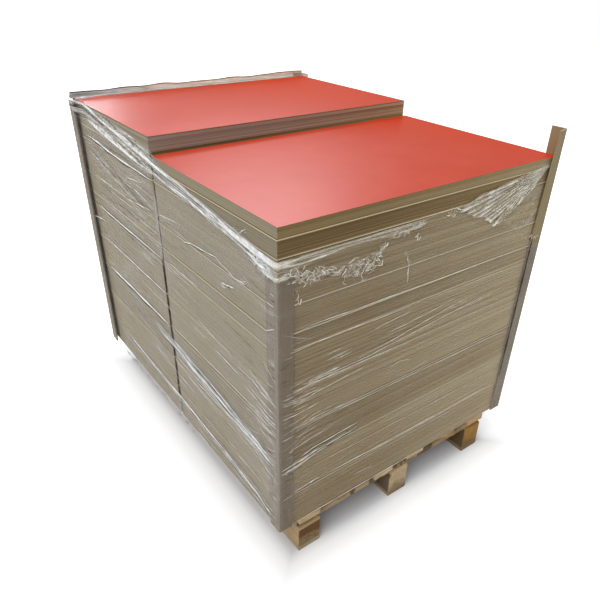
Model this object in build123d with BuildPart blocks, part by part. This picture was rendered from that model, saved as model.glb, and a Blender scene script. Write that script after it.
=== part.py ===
from build123d import *
import math
import os

os.makedirs("parts", exist_ok=True)

# Two stacks of thin hardboard sheets stand side by side on a wooden pallet.
# X runs along the long edge of a board, Y from the front stack to the rear one, Z up.
# The origin lies on the ground under the middle of the whole outline.

# Boards
board_length = 1000.0
board_width = 640.0
board_t = 3.0
stack_gap = 18.0
board_slip = 0.6
proud = 2.5
pack_boards = 42
full_packs = 7
front_rest_boards = 24
rear_rest_boards = 41
top_group_boards = 9
band_boards = 16
loose_boards = 19
sunk_boards = 5
pack_lean = 8.0

# Pallet
overhang_left = 68.0
overhang_right = 82.0
overhang_rear = 98.0
deck_boards = 6
deck_w = 80.0
deck_t = 22.0
stringer_w = 100.0
stringer_t = 22.0
stringer_set = 8.0
block_w = 84.0
block_d = 140.0
block_h = 88.0
runner_t = 18.0
wood_edge = 1.5
end_slip = 4.0
broken_w = 45.0
broken_d = 16.0

# Corner guards
guard_leg = 47.0
guard_t = 5.0
guard_round = 3.0
near_guard_h = 832.0
rear_guard_over = 12.0
right_guard_over = 80.0
rear_guard_off = 10.0
splay_from = 672.0
splay_angle = 15.0

# Stretch film
film_t = 1.0
film_near_z = 846.0
film_front_bend = 600.0
film_rear_over = 6.0
film_drop = 16.0

# Heights and outlines that follow from the sizes above
block_z = runner_t
stringer_z = block_z + block_h
deck_z = stringer_z + stringer_t
load_z = deck_z + deck_t
load_depth = 2 * board_width + stack_gap
pack_h = pack_boards * board_t
front_boards = full_packs * pack_boards + front_rest_boards
rear_boards = full_packs * pack_boards + rear_rest_boards
front_h = front_boards * board_t
rear_h = rear_boards * board_t
pallet_length = board_length - overhang_left - overhang_right
pallet_depth = load_depth - overhang_rear

# How far the tall guard's leg springs forward and the film runs out at the rear left corner
splay_out = guard_leg * math.sin(math.radians(splay_angle))
wrap_depth = load_depth + proud + 2 * (board_slip + guard_t)
film_spread = rear_guard_off * wrap_depth / (wrap_depth - guard_t - guard_leg)

# Middle of the load, set so that the whole outline is centred on the origin
load_x = (proud + film_spread) / 2
load_y = (proud + splay_out - film_t) / 2
front_y = load_y - (board_width + stack_gap) / 2
rear_y = load_y + (board_width + stack_gap) / 2

# Outermost planes that any board edge reaches
left_x = load_x - board_length / 2 - board_slip - proud
right_x = load_x + board_length / 2 + board_slip
near_y = load_y - load_depth / 2 - board_slip - proud
far_y = load_y + load_depth / 2 + board_slip


def slip(index, stride):
    """Small sideways shift of one board, a different one from both its neighbours."""
    return board_slip * ((index * stride) % 5 - 2) / 2


def stands_out(i, boards):
    """How far board i of a stack is pushed out over the front and left faces.

    The top board of each full pack stands proud. So does the one under the top group of
    the front stack, and one higher up in its sixth pack. In the rear stack the loose boards at
    the top lie forward, apart from one, which leaves a dark slot.
    """
    if (i + 1) % pack_boards == 0:
        return proud
    if boards == front_boards and i + 1 in (
        front_boards - top_group_boards,
        (full_packs - 2) * pack_boards + band_boards,
    ):
        return proud
    if boards == rear_boards and i >= boards - loose_boards and i != boards - sunk_boards:
        return proud * 0.7
    return 0


def board_stack(first, end, boards, centre_y):
    """The boards of a stack from first up to end, each a little off the one below.

    The two upper packs of the rear stack lean towards the front stack.
    """
    spots = []
    for i in range(first, end):
        out = stands_out(i, boards)
        lean = pack_lean if boards == rear_boards and i >= (full_packs - 2) * pack_boards else 0
        spot_x = load_x + slip(i, 2) - out
        spot_y = centre_y + slip(i, 3) - out - lean
        spots.append((spot_x, spot_y, load_z + i * board_t))
    with Locations(*spots):
        Box(board_length, board_width, board_t, align=(Align.CENTER, Align.CENTER, Align.MIN))


# Pallet: three runners on the ground, nine blocks, three stringers, six deck boards
pallet_x = load_x + (overhang_left - overhang_right) / 2
pallet_mid_y = load_y - load_depth / 2 + pallet_depth / 2
column_pitch = (pallet_length - block_w) / 2
row_pitch = (pallet_depth - block_d) / 2
stringer_pitch = (pallet_depth - stringer_w) / 2 - stringer_set
deck_pitch = (pallet_length - deck_w) / (deck_boards - 1)
columns = ("left", "middle", "right")
rows = ("front", "middle", "rear")

for c, column in enumerate(columns):
    column_x = pallet_x + (c - 1) * column_pitch
    with BuildPart() as runner:
        with Locations((column_x, pallet_mid_y, 0)):
            Box(block_w, pallet_depth, runner_t, align=(Align.CENTER, Align.CENTER, Align.MIN))
        # The long lower edges are eased so that a fork or truck wheel rides over them
        chamfer(runner.edges().filter_by(Axis.Y).group_by(Axis.Z)[0], wood_edge * 2)
    runner.part.label = "bottom_runner_" + column
    export_step(runner.part, "parts/" + runner.part.label + ".step")

    for r, row in enumerate(rows):
        row_y = pallet_mid_y + (r - 1) * row_pitch
        with BuildPart() as block:
            with Locations((column_x, row_y, block_z)):
                Box(block_w, block_d, block_h, align=(Align.CENTER, Align.CENTER, Align.MIN))
            chamfer(block.edges().filter_by(Axis.Z), wood_edge)
        block.part.label = "block_" + row + "_" + column
        export_step(block.part, "parts/" + block.part.label + ".step")

for r, row in enumerate(rows):
    stringer_y = pallet_mid_y + (r - 1) * stringer_pitch
    with BuildPart() as stringer:
        with Locations((pallet_x, stringer_y, stringer_z)):
            Box(pallet_length, stringer_w, stringer_t, align=(Align.CENTER, Align.CENTER, Align.MIN))
        chamfer(stringer.edges().filter_by(Axis.X).group_by(Axis.Z)[0], wood_edge)
    stringer.part.label = "stringer_" + row
    export_step(stringer.part, "parts/" + stringer.part.label + ".step")

for d in range(deck_boards):
    deck_x = pallet_x - (pallet_length - deck_w) / 2 + d * deck_pitch
    deck_y = pallet_mid_y + end_slip * ((d * 3) % 5 - 2) / 2
    with BuildPart() as deck_board:
        with Locations((deck_x, deck_y, deck_z)):
            Box(deck_w, pallet_depth, deck_t, align=(Align.CENTER, Align.CENTER, Align.MIN))
        chamfer(deck_board.edges().filter_by(Axis.Y).group_by(Axis.Z)[0], wood_edge)
        # The second and the fifth board have a corner of the front end broken off
        if d in (1, deck_boards - 2):
            side = 1 if d == 1 else -1
            end_y = deck_y - pallet_depth / 2
            corner_x = deck_x + side * deck_w / 2
            with BuildSketch(Plane.XY.offset(deck_z)):
                Polygon(
                    (corner_x, end_y),
                    (corner_x, end_y + broken_d),
                    (corner_x - side * broken_w, end_y),
                    align=None,
                )
            extrude(amount=deck_t, mode=Mode.SUBTRACT)
    deck_board.part.label = "deck_board_" + str(d + 1)
    export_step(deck_board.part, "parts/" + deck_board.part.label + ".step")

# Board stacks: a node for each pack, and the coated top board of each stack on its own
for stack, centre_y, boards in (("front", front_y, front_boards), ("rear", rear_y, rear_boards)):
    for p in range(full_packs + 1):
        first = p * pack_boards
        with BuildPart() as board_pack:
            board_stack(first, min(first + pack_boards, boards - 1), boards, centre_y)
        board_pack.part.label = stack + "_board_pack_" + str(p + 1)
        export_step(board_pack.part, "parts/" + board_pack.part.label + ".step")
    with BuildPart() as top_board:
        board_stack(boards - 1, boards, boards, centre_y)
    top_board.part.label = stack + "_top_board"
    export_step(top_board.part, "parts/" + top_board.part.label + ".step")


def guard_section(corner_x, corner_y, into_x, into_y, leg_x=True, leg_y=True, splay=0.0):
    """Angle profile whose inner corner is at the given corner of the load.

    into_x and into_y are +1 or -1 and point along the legs. splay turns the leg
    that lies along X away from the load about its outer corner, in degrees.
    """
    outer_x = corner_x - into_x * guard_t
    outer_y = corner_y - into_y * guard_t
    if leg_x:
        run = guard_leg * math.cos(math.radians(splay))
        rise = guard_leg * math.sin(math.radians(splay))
        thick_x = guard_t * math.sin(math.radians(splay))
        thick_y = guard_t * math.cos(math.radians(splay))
        end_x = outer_x + into_x * run
        end_y = outer_y - into_y * rise
        Polygon(
            (outer_x, outer_y),
            (end_x, end_y),
            (end_x + into_x * thick_x, end_y + into_y * thick_y),
            (outer_x + into_x * thick_x, outer_y + into_y * thick_y),
            align=None,
        )
    if leg_y:
        Polygon(
            (outer_x, outer_y),
            (corner_x, outer_y),
            (corner_x, outer_y + into_y * guard_leg),
            (outer_x, outer_y + into_y * guard_leg),
            align=None,
        )


# Corner guards: angle strips that stand on end at the four corners of the load. The rear
# left one has slid out to the left, so that a dark gap shows beside it
straight_guards = (
    ("corner_guard_front_left", left_x, near_y, 1, 1, near_guard_h),
    ("corner_guard_rear_left", left_x - rear_guard_off, far_y, 1, -1, rear_h),
    ("corner_guard_rear_right", right_x, far_y, -1, -1, rear_h + rear_guard_over),
)
for label, corner_x, corner_y, into_x, into_y, height in straight_guards:
    with BuildPart() as guard:
        with BuildSketch(Plane.XY.offset(load_z)):
            guard_section(corner_x, corner_y, into_x, into_y)
        extrude(amount=height)
        # The folded outer corner is round
        outer = guard.edges().filter_by(Axis.Z).sort_by_distance(
            (corner_x - into_x * guard_t, corner_y - into_y * guard_t, load_z + height / 2)
        )[0]
        fillet(outer, guard_round)
    guard.part.label = label
    export_step(guard.part, "parts/" + label + ".step")

# Front right guard: it reaches over the front stack, and above the film its front leg
# springs away from the load
right_guard_h = front_h + right_guard_over
with BuildPart() as tall_guard:
    with BuildSketch(Plane.XY.offset(load_z)):
        guard_section(right_x, near_y, -1, 1)
    extrude(amount=splay_from)
    with BuildSketch(Plane.XY.offset(load_z + splay_from)):
        guard_section(right_x, near_y, -1, 1, leg_x=False)
    extrude(amount=right_guard_h - splay_from)
    with BuildSketch(Plane.XY.offset(load_z + splay_from)):
        guard_section(right_x, near_y, -1, 1, leg_y=False)
    with BuildSketch(Plane.XY.offset(load_z + right_guard_h)):
        guard_section(right_x, near_y, -1, 1, leg_y=False, splay=splay_angle)
    loft(ruled=True)
tall_guard.part.label = "corner_guard_front_right"
export_step(tall_guard.part, "parts/corner_guard_front_right.step")

# Stretch film: a thin closed ring around the guards. In plan its left wall runs out to the
# rear, so that it passes the front edge of the rear left guard
wrap_left = left_x - guard_t
wrap_rear_left = wrap_left - film_spread
wrap_right = right_x + guard_t
wrap_near = near_y - guard_t
wrap_far = far_y + guard_t
film_low_z = load_z - film_drop
film_bend_x = load_x - board_length / 2 + film_front_bend
film_rear_z = load_z + rear_h + film_rear_over
film_right_z = load_z + splay_from
film_left_z = load_z + film_near_z

with BuildPart() as stretch_film:
    with BuildSketch(Plane.XY.offset(film_low_z)):
        Polygon(
            (wrap_left - film_t, wrap_near - film_t),
            (wrap_right + film_t, wrap_near - film_t),
            (wrap_right + film_t, wrap_far + film_t),
            (wrap_rear_left - film_t, wrap_far + film_t),
            align=None,
        )
        Polygon(
            (wrap_left, wrap_near),
            (wrap_right, wrap_near),
            (wrap_right, wrap_far),
            (wrap_rear_left, wrap_far),
            align=None,
            mode=Mode.SUBTRACT,
        )
    extrude(amount=film_rear_z - film_low_z)
    # Upper edge of the front wall: level to the bend, then down to the right guard
    with BuildSketch(Plane.XZ.offset(-wrap_near)):
        Polygon(
            (wrap_left - film_t, film_left_z),
            (film_bend_x, film_left_z),
            (wrap_right - guard_leg, film_right_z),
            (wrap_right + film_t, film_right_z),
            (wrap_right + film_t, film_rear_z),
            (wrap_left - film_t, film_rear_z),
            align=None,
        )
    extrude(amount=film_t, mode=Mode.SUBTRACT)
    # Upper edges of the left and right walls, rising to the rear
    for side, side_z in ((-1, film_left_z), (1, film_right_z)):
        with BuildSketch(Plane.YZ):
            Polygon(
                (wrap_near, side_z),
                (wrap_far, film_rear_z),
                (wrap_near, film_rear_z),
                align=None,
            )
        extrude(amount=side * board_length, mode=Mode.SUBTRACT)
    # Lower edge: it hangs below the load at the rear
    with BuildSketch(Plane.YZ):
        Polygon(
            (wrap_near - film_t, film_low_z),
            (wrap_far, film_low_z),
            (wrap_near, load_z),
            (wrap_near - film_t, load_z),
            align=None,
        )
    extrude(amount=board_length, both=True, mode=Mode.SUBTRACT)
stretch_film.part.label = "stretch_film"
export_step(stretch_film.part, "parts/stretch_film.step")
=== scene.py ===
# %% [markdown]
# # A pallet of hdf boards in stretch film
#
# Two stacks of thin board stand on a wooden pallet, with cardboard angles at the corners and
# clear film wound around everything. The solid shapes come from the CAD model. This lesson
# gives them their finishes and makes the film, which is too thin and crumpled for CAD.
#
# Lengths are in metres, Z is up, and the front face looks along -Y.

# %% Load the CAD model as a fixed frame
import math

import bmesh
import bpy
import numpy as np
from mathutils import Matrix, Vector


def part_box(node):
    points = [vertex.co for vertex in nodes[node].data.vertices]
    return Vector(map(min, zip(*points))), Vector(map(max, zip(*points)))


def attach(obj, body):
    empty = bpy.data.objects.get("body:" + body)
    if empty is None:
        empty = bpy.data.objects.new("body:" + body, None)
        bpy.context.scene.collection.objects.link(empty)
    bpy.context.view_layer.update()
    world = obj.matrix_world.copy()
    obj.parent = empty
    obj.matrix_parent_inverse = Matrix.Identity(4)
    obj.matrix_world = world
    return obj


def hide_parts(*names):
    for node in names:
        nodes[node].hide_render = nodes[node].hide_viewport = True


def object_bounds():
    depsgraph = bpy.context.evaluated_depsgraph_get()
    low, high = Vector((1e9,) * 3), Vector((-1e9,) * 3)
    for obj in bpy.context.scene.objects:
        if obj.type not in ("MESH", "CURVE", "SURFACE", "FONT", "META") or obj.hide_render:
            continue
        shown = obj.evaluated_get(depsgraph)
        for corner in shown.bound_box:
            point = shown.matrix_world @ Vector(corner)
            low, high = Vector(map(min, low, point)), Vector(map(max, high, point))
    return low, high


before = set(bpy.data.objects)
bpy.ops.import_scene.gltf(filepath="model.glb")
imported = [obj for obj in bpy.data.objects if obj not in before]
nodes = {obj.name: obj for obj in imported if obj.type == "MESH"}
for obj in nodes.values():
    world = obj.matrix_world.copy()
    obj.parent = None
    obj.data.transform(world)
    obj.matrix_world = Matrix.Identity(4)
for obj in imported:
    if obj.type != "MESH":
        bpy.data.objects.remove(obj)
cad_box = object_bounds()
print("CAD nodes:", len(nodes), "box:", [round(v, 4) for v in (*cad_box[0], *cad_box[1])])

# %% [markdown]
# ## The camera
#
# The camera stands at the front left, above the load, and looks down at about 32 degrees. Its
# place, its turn and its small sideways shift were solved from the straight edges of the load.

# %% Camera
camera_data = bpy.data.cameras.new("camera")
camera_data.sensor_width = 36.0
camera_data.lens = 34.6
camera_data.shift_x = -0.0144
camera_data.shift_y = 0.0495
camera = bpy.data.objects.new("camera", camera_data)
bpy.context.scene.collection.objects.link(camera)
camera_place = Vector((-1.1197, -1.5855, 1.5664))
look = Vector((0.5110, 0.6743, -0.5331)).normalized()
roll = math.radians(1.28)
turn = look.to_track_quat("-Z", "Y").to_matrix() @ Matrix.Rotation(roll, 3, "Z")
camera.matrix_world = Matrix.Translation(camera_place) @ turn.to_4x4()
bpy.context.scene.camera = camera
print("camera looks down by", round(math.degrees(math.asin(-look.z)), 1), "degrees")

# %% [markdown]
# ## Shader maths as Python
#
# A pattern is a formula, and a formula reads best as one line of Python. So an output of a node
# is wrapped in a class that knows + - * /, and each sign adds the Math node that it stands for.
# Every other node comes from one function: its settings first, then its sockets.

# %% Wires and nodes
class Wire:
    """One output of a shader node, with + - * / and a few functions written as Python."""

    def __init__(self, tree, socket):
        self.tree = tree
        self.socket = socket

    def other(self, index):
        """Another output of the same node, by its number or name."""
        return Wire(self.tree, self.socket.node.outputs[index])

    def math(self, operation, value=0.0):
        return add_node(self.tree, "Math", {"operation": operation}, i0=self, i1=value)

    def __add__(self, value):
        return self.math("ADD", value)

    def __sub__(self, value):
        return self.math("SUBTRACT", value)

    def __rsub__(self, value):
        return self * -1 + value

    def __mul__(self, value):
        return self.math("MULTIPLY", value)

    def __truediv__(self, value):
        return self.math("DIVIDE", value)

    __rmul__ = __mul__

    def step(self, low, high):
        """0 below low, 1 above high, and a smooth slope between."""
        smoothed = {"interpolation_type": "SMOOTHSTEP"}
        return add_node(self.tree, "MapRange", smoothed, i0=self, i1=low, i2=high)

    def near(self, value, reach):
        """1 where the wire has this value, falling to 0 at this reach from it."""
        return 1 - (self - value).math("ABSOLUTE").step(reach * 0.5, reach)


def plug(socket, value):
    """Sets a socket's value, or links a wire to it. A colour may be given as (r, g, b)."""
    if isinstance(value, Wire):
        value.tree.links.new(value.socket, socket)
    elif socket.type == "RGBA" and len(value) == 3:
        socket.default_value = (*value, 1)
    else:
        socket.default_value = value


def add_node(tree, kind, settings=None, out=0, **sockets):
    """Adds a shader node and gives back one of its outputs as a wire.

    The settings are set first: an operation, a data type, or a ramp's stops as
    (position, (r, g, b)). Sockets go by name, with _ for a space, or by number as i0.
    """
    made = tree.nodes.new("ShaderNode" + kind)
    for key, value in (settings or {}).items():
        if key == "stops":
            elements = made.color_ramp.elements
            for element, (position, colour) in ((elements[0], value[0]), (elements[1], value[-1])):
                element.position = position
                element.color = (*colour, 1)
            for position, colour in value[1:-1]:
                elements.new(position).color = (*colour, 1)
        else:
            setattr(made, key, value)
    for key, value in sockets.items():
        numbered = key[0] == "i" and key[1:].isdigit()
        plug(made.inputs[int(key[1:]) if numbered else key.replace("_", " ")], value)
    return Wire(tree, made.outputs[out])


class Finish:
    """A material being made: its tree, its Principled shader, and the nodes used most."""

    def __init__(self, name, **sockets):
        self.material = bpy.data.materials.new(name)
        self.material.use_nodes = True
        self.tree = self.material.node_tree
        self.shader = self.tree.nodes["Principled BSDF"]
        self.feed(**sockets)

    def feed(self, **sockets):
        """Feeds the shader's sockets, named with _ for a space."""
        for name, value in sockets.items():
            plug(self.shader.inputs[name.replace("_", " ")], value)

    def bump(self, height, depth):
        """Fine relief: height is a wire from 0 to 1, and depth its size in metres."""
        self.feed(Normal=self.node("Bump", Height=height, Distance=depth))

    def dress(self, *pieces):
        """Gives pieces this material alone."""
        for piece in pieces:
            piece.data.materials.clear()
            piece.data.materials.append(self.material)

    def node(self, kind, settings=None, out=0, **sockets):
        return add_node(self.tree, kind, settings, out, **sockets)

    def place(self):
        """The point in the object's own coordinates, in metres."""
        return self.node("TexCoord", out=3)

    def apart(self, vector):
        """The three parts of a vector, each as a wire."""
        x = self.node("SeparateXYZ", i0=vector)
        return x, x.other(1), x.other(2)

    def axes(self):
        """The three coordinates of the point, each as a wire."""
        return self.apart(self.place())

    def facing(self):
        """The three parts of the surface's direction, each as a wire."""
        return self.apart(self.node("NewGeometry", out=1))

    def stretched(self, scale, shift=(0, 0, 0)):
        """The point scaled by a vector, for a grain that is longer one way than the other."""
        return self.node("Mapping", Vector=self.place(), Scale=scale, Location=shift)

    def noise(self, vector, scale, detail=3.0, roughness=0.55):
        return self.node("TexNoise", Vector=vector, Scale=scale, Detail=detail, Roughness=roughness)

    def ramp(self, factor, *stops):
        """A colour ramp through (position, (r, g, b)) stops."""
        return self.node("ValToRGB", {"stops": stops}, i0=factor)

    def paint(self, colour, *coats):
        """Lays coats over a colour, each as (factor, colour). A colour is a wire or (r, g, b)."""
        for factor, coat in coats:
            colour = self.node("Mix", {"data_type": "RGBA"}, out=2, i0=factor, i6=colour, i7=coat)
        return colour

    def shine(self):
        """The attribute shine, from -1 for a dark fold to 1 for white film. See film_piece."""
        return self.node("Attribute", {"attribute_name": "shine"}, out=2) * 2 - 1


# %% [markdown]
# ## Floor and light
#
# The photo has a white ground with a tight soft shadow. The floor is a pale matt plane. What is
# missing up to white is added only for rays that come straight from the camera, from a mirror
# or through glass, so that the light on the boards stays plain. Close to the pallet less is
# added, so the shadow stays there and fades within a hand's width. The floor's own colour is
# also painted darker there: a painted shadow.
#
# The light is one wide soft sun from the front left, which leaves the front face darker than
# the left one. Two lamps that only show in reflections lay a pale sheen on the red: one on the
# near left part of the front stack, the other on the rear left corner.

# %% Floor, world and lamps
floor_half = 14.0
floor_mesh = bpy.data.meshes.new("floor")
signs = ((-1, -1), (1, -1), (1, 1), (-1, 1))
floor_mesh.from_pydata([(a * floor_half, b * floor_half, 0) for a, b in signs], [], [(0, 1, 2, 3)])
floor = bpy.data.objects.new("floor", floor_mesh)
bpy.context.scene.collection.objects.link(floor)


def direct_rays(tree):
    """1 for rays from the camera, from a mirror or through glass, and 0 for diffuse light."""
    ray = add_node(tree, "LightPath")
    kinds = ("Is Camera Ray", "Is Glossy Ray", "Is Transmission Ray")
    camera_ray, glossy_ray, glass_ray = (ray.other(kind) for kind in kinds)
    return (camera_ray + glossy_ray + glass_ray).math("MINIMUM", 1.0)


floor_finish = Finish("pale_floor", Roughness=0.9, Specular_IOR_Level=0.1)
x, y = floor_finish.axes()[:2]
beside_x = x.math("ABSOLUTE") - cad_box[1][0] + 0.03
beside_y = y.math("ABSOLUTE") - cad_box[1][1] - 0.01
beside = (beside_x.math("MAXIMUM", beside_y) + 0.15) / 0.30
glow = floor_finish.ramp(
    beside,
    (0.00, (0.030, 0.030, 0.032)),
    (0.30, (0.040, 0.040, 0.042)),
    (0.37, (0.12, 0.12, 0.122)),
    (0.43, (0.29, 0.29, 0.292)),
    (0.50, (0.44, 0.44, 0.44)),
    (0.65, (0.60, 0.60, 0.60)),
    (1.00, (0.80, 0.80, 0.80)),
)
# Painted shadow: the floor's own colour is darker close to and under the pallet.
floor_colour_with_painted_shadow = floor_finish.ramp(beside, (0.8, (0.50, 0.50, 0.505)), (1.0, (0.86, 0.86, 0.87)))
direct = direct_rays(floor_finish.tree)
floor_finish.feed(Base_Color=floor_colour_with_painted_shadow, Emission_Color=glow, Emission_Strength=direct)
floor_finish.dress(floor)

world = bpy.data.worlds.new("studio")
bpy.context.scene.world = world
world.use_nodes = True
background = world.node_tree.nodes["Background"]
plug(background.inputs["Color"], (1, 1, 1))
sky_light = 0.34
plug(background.inputs["Strength"], direct_rays(world.node_tree) * (1 - sky_light) + sky_light)


def lamp(kind, name, place, target, energy, **shape):
    """A lamp at a place, turned to a target."""
    data = bpy.data.lights.new(name, kind)
    data.energy = energy
    for key, value in shape.items():
        setattr(data, key, value)
    made = bpy.data.objects.new(name, data)
    bpy.context.scene.collection.objects.link(made)
    aim = (Vector(target) - Vector(place)).to_track_quat("-Z", "Y")
    made.matrix_world = Matrix.Translation(place) @ aim.to_matrix().to_4x4()
    return made


lamp("SUN", "soft_sun", (-2.5, -1.25, 3.2), (0, 0, 0), 2.05, angle=math.radians(40))
glare_lamps = (
    # Name, place, target, energy and colour
    ("near_glare", (0.4, 0.9, 2.4), (-0.5, -0.6, 1.1), 166, (0.99, 0.92, 0.97)),
    ("rear_glare", (0.0, 3.2, 1.9), (-0.5, 0.6, 1.15), 58, (0.72, 0.92, 1.0)),
)
for name, place, target, energy, colour in glare_lamps:
    pane = {"shape": "RECTANGLE", "size": 0.9, "size_y": 0.7, "color": colour}
    lamp("AREA", name, place, target, energy, **pane).visible_diffuse = False
bpy.context.scene.view_settings.view_transform = "Standard"

# %% [markdown]
# ## Board edges
#
# Hdf is pressed wood fibre. Its sawn edge is an even olive brown. The boards of one pack come
# from one press load, so a pack has one tone, and the next pack another. The CAD model already
# has a step at every board. The finish adds a band of tone for each height, a small shade of
# its own for each board, and paler edges on the boards that stand proud and catch the light.

# %% Values of the stack, as in the CAD model
load_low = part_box("front_board_pack_1")[0].z
front_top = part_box("front_top_board")[1].z
rear_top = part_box("rear_top_board")[1].z
gap_y = (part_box("front_top_board")[1].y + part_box("rear_top_board")[0].y) / 2
board = 0.003
pack_boards = 42
pack = pack_boards * board
print("load from", round(load_low, 3), "front top", round(front_top, 3), "rear top", round(rear_top, 3))

# %% Sawn edges
# Height above the load's foot at which each tone starts, and the tone from 0 dark to 1 pale
tone_bands = (
    (0.0, 0.53), (0.126, 0.65), (0.252, 0.41), (0.378, 0.65), (0.504, 0.57), (0.630, 0.40),
    (0.678, 0.47), (0.756, 0.50), (0.882, 0.24), (0.924, 0.44), (0.954, 0.30), (0.961, 0.72),
    (0.972, 0.42), (0.984, 0.05), (0.989, 0.72),
)
# Boards that stand proud inside a pack, counted from the load's foot
single_proud = (308, 225)


def edge_colour(finish):
    """The colour and the fine height of sawn board edges at every point.

    The board's number is the whole part of the height over the board's thickness. White noise
    of that number shifts the tone a little, and the bands set it for whole packs. Long thin
    noise adds the streaks left by the saw. The tone rises a little to the right, a painted sheen
    of the film over that part. The short edges, on the left and right sides, are painted paler
    and greyer, as the lit left side looks: painted light. The left part of the step between the
    stacks is greyer too. The gap is painted dark inside as painted shade, a painted shadow
    darkens the two boards below each proud one, and the proud boards are painted paler as a
    painted highlight.
    """
    x, y, z = finish.axes()
    height = z - load_low
    number = (height / board + 0.01).math("FLOOR")
    own = finish.node("TexWhiteNoise", {"noise_dimensions": "1D"}, W=number)
    bands = finish.ramp(height, *[(at, (tone, tone, tone)) for at, tone in tone_bands])
    bands.socket.node.color_ramp.interpolation = "CONSTANT"
    sheets = finish.noise(finish.stretched((0.4, 0.4, 50)), 3.0, 4.0)
    layers = finish.noise(finish.stretched((0.5, 0.5, 14)), 3.0, 2.0)
    cloud = finish.noise(finish.stretched((1, 1, 1.6)), 2.2, 3.0)
    fibre = finish.noise(finish.stretched((1, 1, 2.5)), 600.0, 2.0)
    streaks = own * 0.36 + sheets * 0.34 + layers * 0.26
    # Painted sheen: the tone rises to the right, where the film's sheen brightens the front.
    sheen_to_right = (x + 0.20).math("MAXIMUM", 0.0) * 0.68
    tone = bands + streaks + cloud * 0.22 + fibre * 0.12 + sheen_to_right - 0.66
    sawn = finish.ramp(
        tone * 0.8,
        (0.04, (0.175, 0.115, 0.046)),
        (0.40, (0.315, 0.224, 0.102)),
        (0.76, (0.470, 0.370, 0.212)),
        (1.00, (0.570, 0.465, 0.285)),
    )
    # Painted light: the short edges, on the left and right sides, are paler and greyer, as the lit left
    # side looks.
    short_edge, long_edge = (part.math("ABSOLUTE").step(0.5, 0.9) for part in finish.facing()[:2])
    at_gap = y.near(gap_y, 0.06)
    # Painted shade: the boards' faces inside the gap between the stacks are darkened.
    gap_painted_shade = at_gap * z.step(front_top, front_top - 0.03) * long_edge
    on_step = at_gap * z.step(front_top + 0.004, front_top + 0.010) * x.step(0.70, -0.35)
    seam = ((height / board).math("FRACT") - 0.5).math("ABSOLUTE").step(0.38, 0.5)
    in_pack = (number + 0.5) / pack_boards
    # Painted shadow: the two boards below each proud one are darkened, and the proud ones are painted paler
    # as a highlight.
    below = in_pack.math("FRACT").near(0.964, 0.026)
    proud = (in_pack + 1 / pack_boards).math("FRACT").near(0.012, 0.016)
    for single in single_proud:
        proud = proud + number.near(single, 0.9)
    colour = finish.paint(
        sawn,
        (short_edge * 0.62, (0.385, 0.365, 0.290)),
        (gap_painted_shade * 0.9, (0.01, 0.008, 0.006)),
        (on_step * (1 - short_edge) * 0.55, (0.40, 0.39, 0.37)),
        (seam * 0.40, (0.07, 0.048, 0.026)),
        (below * 0.55, (0.07, 0.05, 0.03)),
        (proud.math("MINIMUM", 1.0) * 0.80, (0.74, 0.64, 0.44)),
    )
    return colour, fibre


edge_finish = Finish("hdf_edge", Roughness=0.85, Specular_IOR_Level=0.2)
colour, fibre = edge_colour(edge_finish)
edge_finish.feed(Base_Color=colour)
edge_finish.bump(fibre, 0.0003)
edge_finish.dress(*[nodes[name] for name in nodes if "board_pack" in name])
print("board tones:", len(tone_bands))

# %% [markdown]
# ## Red coated faces
#
# The boards are coated on one face with a thin satin film of red lacquer, so the top board of
# each stack is red above and raw at its edges. The direction of the surface tells the two apart.
# Wide soft noise makes faint dusty patches in the colour, and fine noise an orange peel. The red
# of the rear board is painted a little deeper, and both boards more orange towards the right:
# painted light, standing for the pale sheen that fades off towards the rear and the right.

# %% Red coat
coat_finish = Finish("red_coated_board", Specular_IOR_Level=0.025)
colour, fibre = edge_colour(coat_finish)
up = coat_finish.facing()[2].step(0.5, 0.9)
dust = coat_finish.noise(coat_finish.place(), 4.0, 5.0, 0.6)
peel = coat_finish.noise(coat_finish.stretched((1, 4, 1)), 90.0, 3.0)
red = coat_finish.ramp(
    dust * 0.75 + peel * 0.25,
    (0.25, (0.625, 0.056, 0.022)),
    (0.50, (0.690, 0.076, 0.034)),
    (0.80, (0.730, 0.106, 0.058)),
)
x, y, z = coat_finish.axes()
# Painted light: a deeper red on the rear board and more orange to the right, where less sheen falls.
deep = y.step(gap_y - 0.01, gap_y + 0.01) * x.step(-0.6, 0.1)
orange = (x + y * 0.3).step(0.05, 0.50)
red = coat_finish.paint(red, (deep * 0.8, (0.61, 0.045, 0.004)), (orange * 0.85, (0.70, 0.050, 0.002)))
coat_finish.feed(
    Base_Color=coat_finish.paint(colour, (up, red)),
    Roughness=up * -0.40 + 0.82 + dust * 0.06,
)
coat_finish.bump(peel * 0.5 + fibre * 0.1, 0.0002)
coat_finish.dress(nodes["front_top_board"], nodes["rear_top_board"])
print("red faces: 2")
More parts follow.
